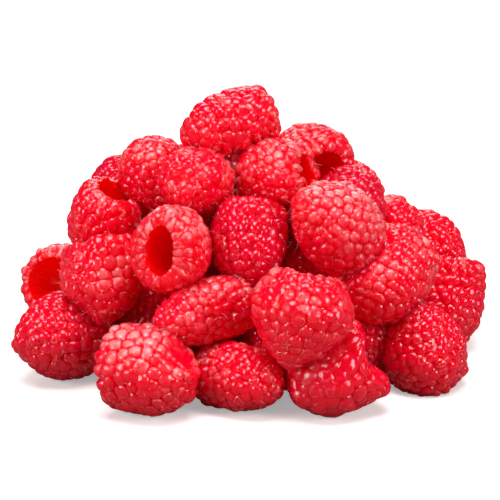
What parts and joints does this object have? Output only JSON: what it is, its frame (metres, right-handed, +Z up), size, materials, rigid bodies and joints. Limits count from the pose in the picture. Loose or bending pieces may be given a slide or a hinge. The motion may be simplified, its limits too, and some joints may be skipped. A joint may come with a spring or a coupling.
{
  "type": "heap of raspberries",
  "caption": "Loose heap of fresh red raspberries lying on a flat surface, some with the hollow that picking leaves showing.",
  "frame": {"origin": "centre of the bounding box, on the flat surface that the heap lies on", "axes": "+Z up, +X to the right as the picture shows the heap, +Y away from the camera"},
  "size_m": [0.1184, 0.1064, 0.0691],
  "materials": {
    "raspberry": "moist red fruit skin with a fine pale bloom, softly glossy"
  },
  "bodies": {
    "root": {"raspberry_heap": "raspberry"}
  },
  "joints": []
}
